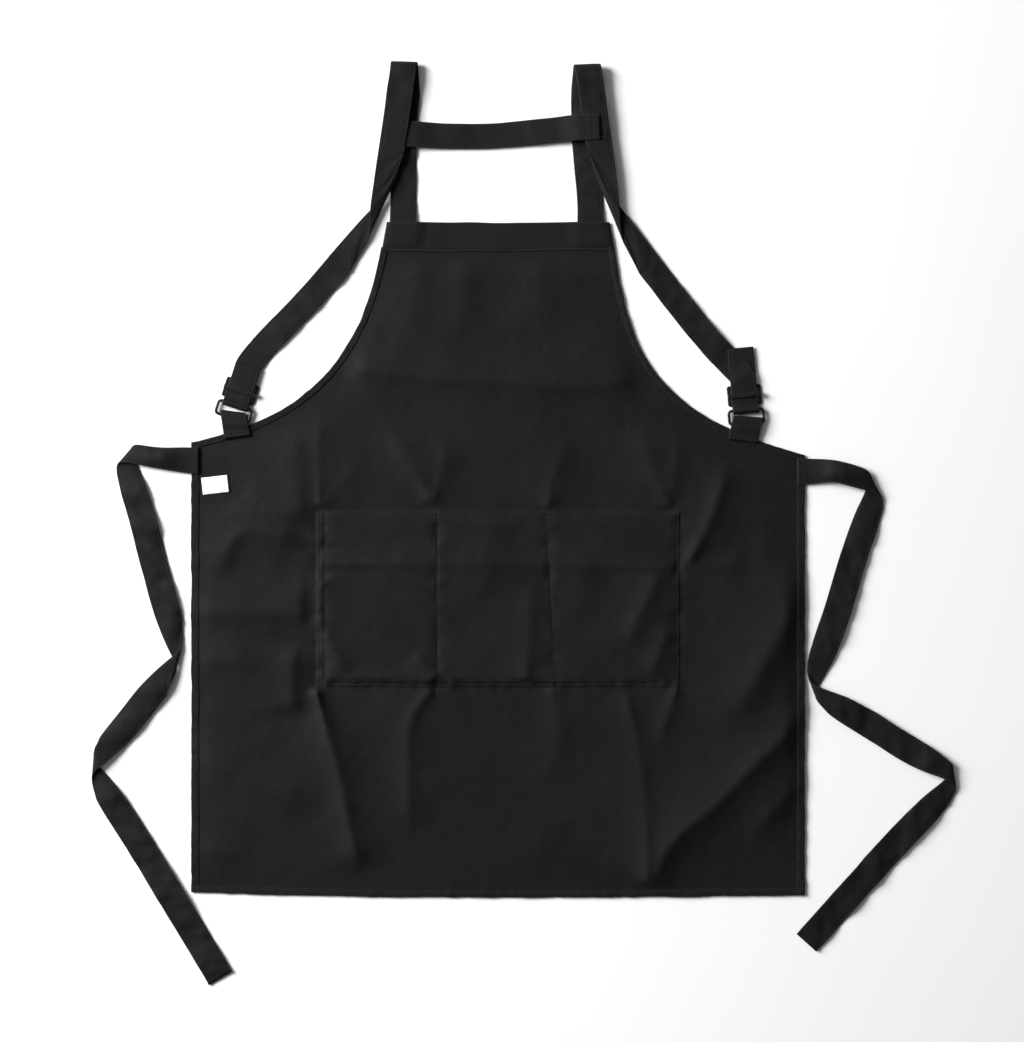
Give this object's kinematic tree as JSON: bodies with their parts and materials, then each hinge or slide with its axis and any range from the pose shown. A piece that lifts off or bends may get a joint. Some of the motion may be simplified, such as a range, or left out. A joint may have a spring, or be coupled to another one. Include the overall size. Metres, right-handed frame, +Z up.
{
  "type": "artist smock apron",
  "caption": "Dark bib apron lying flat, inside up, with a pocket underneath, two back straps on sliders and rings joined by a cross strap, and long waist ties.",
  "frame": {"origin": "the middle of the front pocket's outer face, on the centre line of the apron, where it lies on the surface", "axes": "+Y towards the neck, along the apron's length; +X to the right as it lies with its inside up; +Z up from the surface, out of the apron's inside"},
  "size_m": [0.9941, 1.0632, 0.0127],
  "materials": {
    "apron_cloth": "near-black cotton twill, matt, slightly bluish, soft from washing, with pressed folds",
    "strap_cloth": "the same near-black twill folded in four and stitched into straps and ties",
    "thread": "black polyester sewing thread, lockstitch",
    "label_cloth": "white satin care label, blank",
    "hardware": "glossy black moulded strap hardware"
  },
  "bodies": {
    "root": {"body_panel": "apron_cloth", "pocket_panel": "apron_cloth", "bib_band": "apron_cloth", "cross_strap": "strap_cloth", "shoulder_strap_left": "strap_cloth", "tie_anchor_left": "strap_cloth", "ring_tab_left": "strap_cloth", "seam_side_left": "thread", "seam_armhole_left": "thread", "seam_tab_left": "thread", "seam_tie_left": "thread", "seam_cross_left": "thread", "shoulder_strap_right": "strap_cloth", "tie_anchor_right": "strap_cloth", "ring_tab_right": "strap_cloth", "seam_side_right": "thread", "seam_armhole_right": "thread", "seam_tab_right": "thread", "seam_tie_right": "thread", "seam_cross_right": "thread", "seam_bottom": "thread", "seam_band": "thread", "seam_pocket": "thread", "seam_divider_left": "thread", "seam_divider_right": "thread"},
    "ring_left": {"ring_left": "hardware"},
    "ring_right": {"ring_right": "hardware"},
    "slider_left": {"slider_left": "hardware"},
    "slider_right": {"slider_right": "hardware"},
    "waist_tie_left": {"waist_tie_left": "strap_cloth"},
    "waist_tie_right": {"waist_tie_right": "strap_cloth"},
    "care_label": {"care_label": "label_cloth", "seam_label": "thread"}
  },
  "joints": [
    {"name": "slider_left_slide", "type": "slide", "parent": "root", "child": "slider_left", "axis": [0.3074, 0.9516, 0], "range_m": [0, 0.016]},
    {"name": "ring_left_tilt", "type": "hinge", "parent": "root", "child": "ring_left", "pos_m": [-0.30635, 0.20836, 0.0034], "axis": [0.9516, -0.3074, 0], "range_deg": [0, 6]},
    {"name": "waist_tie_left_fold", "type": "hinge", "parent": "root", "child": "waist_tie_left", "pos_m": [-0.354, 0.1595, 0.0051], "axis": [-0.0995, 0.995, 0], "range_deg": [0, 150]},
    {"name": "slider_right_slide", "type": "slide", "parent": "root", "child": "slider_right", "axis": [-0.0872, 0.9962, 0], "range_m": [0, 0.006]},
    {"name": "ring_right_tilt", "type": "hinge", "parent": "root", "child": "ring_right", "pos_m": [0.28631, 0.20183, 0.0034], "axis": [0.9962, 0.0872, 0], "range_deg": [0, 6]},
    {"name": "waist_tie_right_fold", "type": "hinge", "parent": "root", "child": "waist_tie_right", "pos_m": [0.354, 0.1468, 0.0051], "axis": [-0.0995, -0.995, 0], "range_deg": [0, 150]},
    {"name": "care_label_lift", "type": "hinge", "parent": "root", "child": "care_label", "pos_m": [-0.3414, 0.13925, 0.00195], "axis": [0.1132, -0.9936, 0], "range_deg": [0, 120]}
  ]
}
